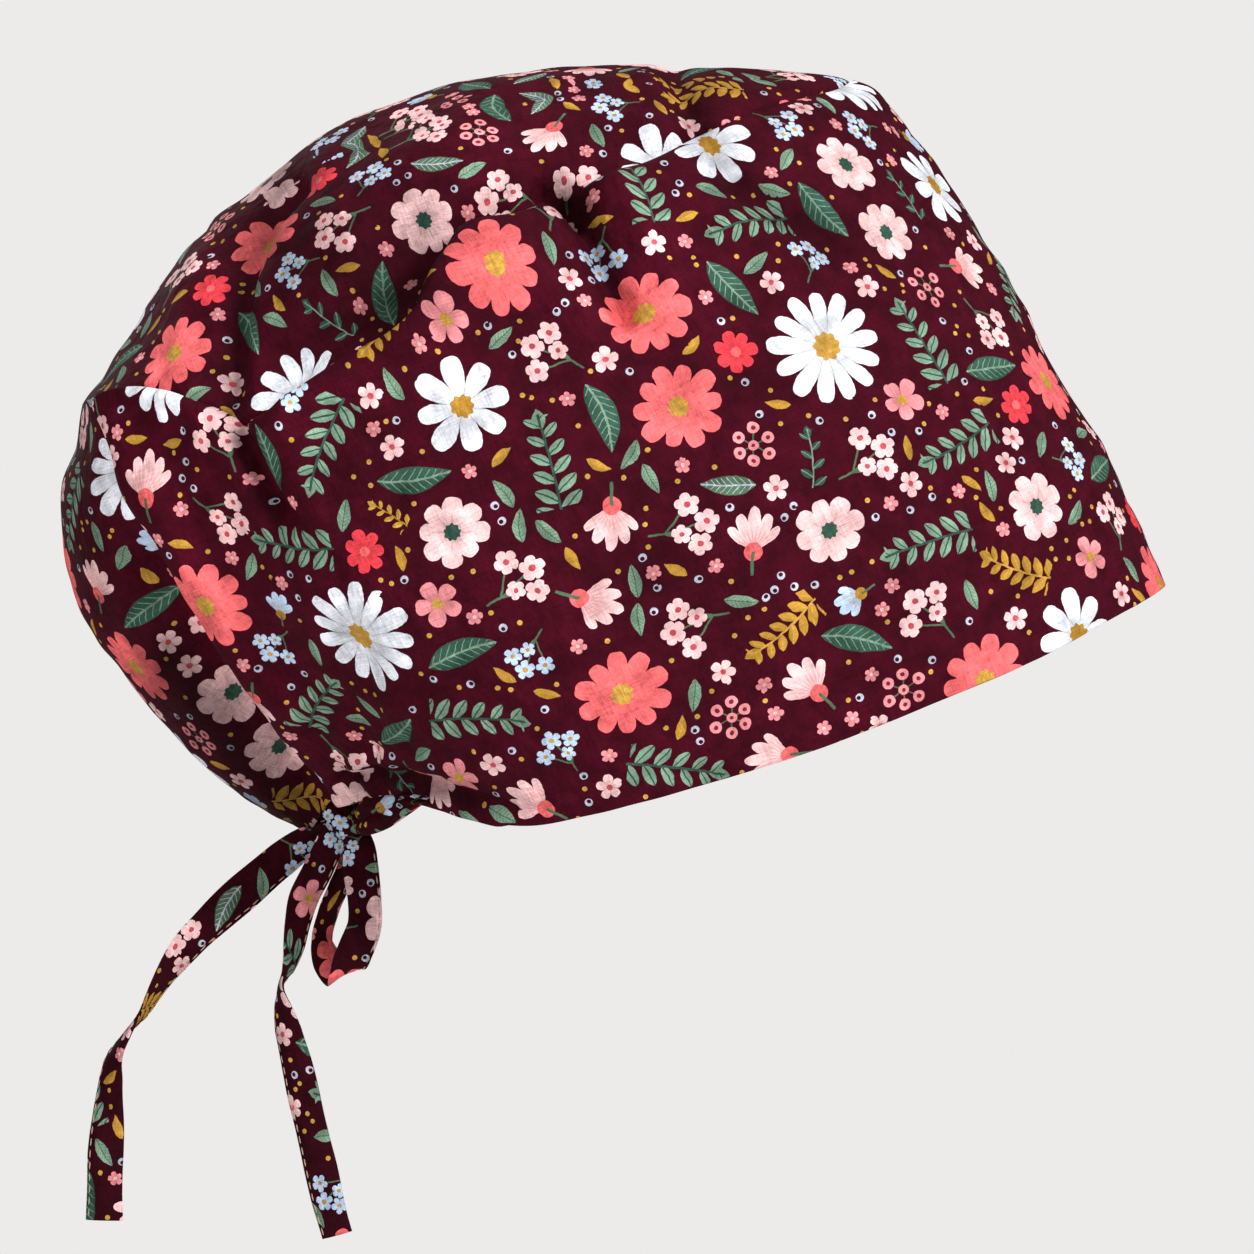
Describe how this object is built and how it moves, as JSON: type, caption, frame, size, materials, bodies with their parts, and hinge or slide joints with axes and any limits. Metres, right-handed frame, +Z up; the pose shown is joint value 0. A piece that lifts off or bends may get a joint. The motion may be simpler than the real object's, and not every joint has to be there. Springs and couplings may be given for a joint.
{
  "type": "scrub cap",
  "caption": "Cloth scrub cap with a deep band, a full crown that hangs as a pouch behind, and a strap tied in a half bow at the nape; it covers the wearer's hair.",
  "frame": {"origin": "middle of the head opening, on the cap's plane of symmetry, halfway between the hem at the forehead and the band's ends at the nape", "axes": "+X towards the wearer's face, +Y to the wearer's left, +Z up"},
  "size_m": [0.2968, 0.1894, 0.3158],
  "materials": {
    "cap_cloth": "matte printed cotton",
    "strap_cloth": "matte printed cotton, folded and stitched"
  },
  "bodies": {
    "root": {"band": "cap_cloth", "crown_back": "cap_cloth", "knot": "strap_cloth", "tie_wrap_near": "strap_cloth", "tie_wrap_far": "strap_cloth", "bow_loop": "strap_cloth", "tie_end_rear": "strap_cloth", "tie_end_front": "strap_cloth"}
  },
  "joints": []
}
